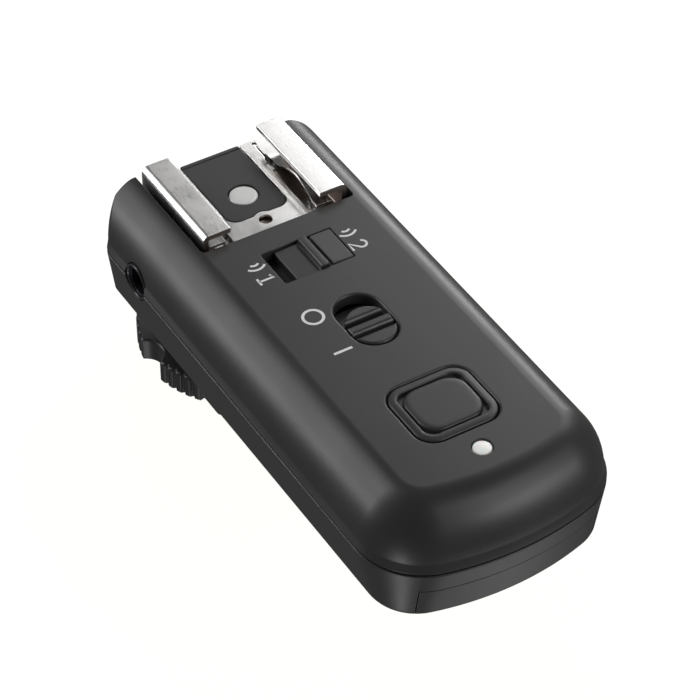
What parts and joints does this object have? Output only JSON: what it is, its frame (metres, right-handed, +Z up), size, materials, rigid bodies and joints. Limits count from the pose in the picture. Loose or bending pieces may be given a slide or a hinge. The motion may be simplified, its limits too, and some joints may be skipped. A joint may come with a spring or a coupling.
{
  "type": "wireless flash trigger",
  "caption": "Radio flash trigger: long rounded case, accessory shoe on top, locking shoe foot below, slide switches, test button, lamp and sync socket.",
  "frame": {"origin": "middle of the footprint, level with the tip of the foot's contact, the lowest point", "axes": "+Z up through the accessory shoe, +Y along the case towards the shoe end, +X across; the sync socket is on the -X side"},
  "size_m": [0.0328, 0.078, 0.0305],
  "materials": {
    "case_plastic": "fine satin texture, charcoal",
    "black_plastic": "satin black moulding",
    "switch_plastic": "satin dark grey moulding",
    "wheel_plastic": "satin dark grey moulding",
    "shoe_chrome": "bright plated sheet, lightly brushed",
    "contact_silver": "matt silver contact",
    "contact_gold": "gold-plated contact",
    "screw_steel": "plain plated steel",
    "cell_steel": "nickel-plated steel",
    "post_metal": "dark anodised, turned thread",
    "board_laminate": "green solder mask",
    "lamp_lens": "milky white lens"
  },
  "bodies": {
    "housing": {"top_shell": "case_plastic", "bottom_shell": "case_plastic", "shoe_bracket": "shoe_chrome", "shoe_spring_plate": "shoe_chrome", "contact_pad": "black_plastic", "shoe_contact": "contact_silver", "shoe_screw_1": "screw_steel", "shoe_screw_2": "screw_steel", "shoe_screw_3": "screw_steel", "shoe_screw_4": "screw_steel", "channel_switch": "screw_steel", "power_switch": "screw_steel", "test_switch": "screw_steel", "status_lamp": "lamp_lens", "circuit_board": "board_laminate", "radio_shield": "screw_steel", "controller_chip": "black_plastic", "crystal": "screw_steel", "antenna": "contact_gold", "trigger_thyristor": "black_plastic", "capacitor": "screw_steel", "contact_strip": "contact_gold", "coin_cell": "cell_steel", "cell_middle_contact": "cell_steel", "cell_rim_contact": "cell_steel", "sync_socket": "black_plastic", "sync_collar": "screw_steel", "board_screw_1": "screw_steel", "board_screw_2": "screw_steel", "case_screw_1": "screw_steel", "case_screw_2": "screw_steel", "case_screw_3": "screw_steel", "case_screw_4": "screw_steel", "foot_post": "post_metal", "post_screw_1": "screw_steel", "post_screw_2": "screw_steel", "post_screw_3": "screw_steel", "post_screw_4": "screw_steel", "shoe_foot": "black_plastic", "foot_screw_1": "screw_steel", "foot_screw_2": "screw_steel", "foot_screw_3": "screw_steel", "foot_screw_4": "screw_steel", "foot_contact_spring": "screw_steel"},
    "battery_door": {"battery_door": "case_plastic"},
    "channel_slider": {"channel_slider": "switch_plastic", "channel_switch_lever": "black_plastic"},
    "power_slider": {"power_slider": "switch_plastic", "power_switch_lever": "black_plastic"},
    "test_button": {"test_button": "switch_plastic", "test_switch_plunger": "black_plastic"},
    "foot_contact": {"foot_contact": "contact_gold"},
    "lock_washer": {"lock_washer": "screw_steel"},
    "lock_wheel": {"lock_wheel": "wheel_plastic"}
  },
  "joints": [
    {"name": "channel_slide", "type": "slide", "parent": "housing", "child": "channel_slider", "axis": [-1, 0, 0], "range_m": [0, 0.0017]},
    {"name": "power_slide", "type": "slide", "parent": "housing", "child": "power_slider", "axis": [0, 1, 0], "range_m": [0, 0.0023]},
    {"name": "test_press", "type": "slide", "parent": "housing", "child": "test_button", "axis": [0, 0, -1], "range_m": [0, 0.0005], "stiffness_N_per_m": 600, "springref_m": -0.0005},
    {"name": "battery_door_slide", "type": "slide", "parent": "housing", "child": "battery_door", "axis": [0, -1, 0], "range_m": [0, 0.028]},
    {"name": "foot_contact_press", "type": "slide", "parent": "housing", "child": "foot_contact", "axis": [0, 0, 1], "range_m": [0, 0.0005], "stiffness_N_per_m": 300, "springref_m": -0.0005, "deforming": ["foot_contact_spring"]},
    {"name": "lock_lift", "type": "slide", "parent": "housing", "child": "lock_washer", "axis": [0, 0, 1], "range_m": [0, 0.003]},
    {"name": "lock_wheel_turn", "type": "hinge", "parent": "lock_washer", "child": "lock_wheel", "pos_m": [0, 0.0248, 0.0055], "axis": [0, 0, 1], "range_deg": [0, 720]}
  ],
  "couplings": [
    {"joint": "lock_wheel_turn", "follows": "lock_lift", "rad_per_m": 4188.8}
  ]
}
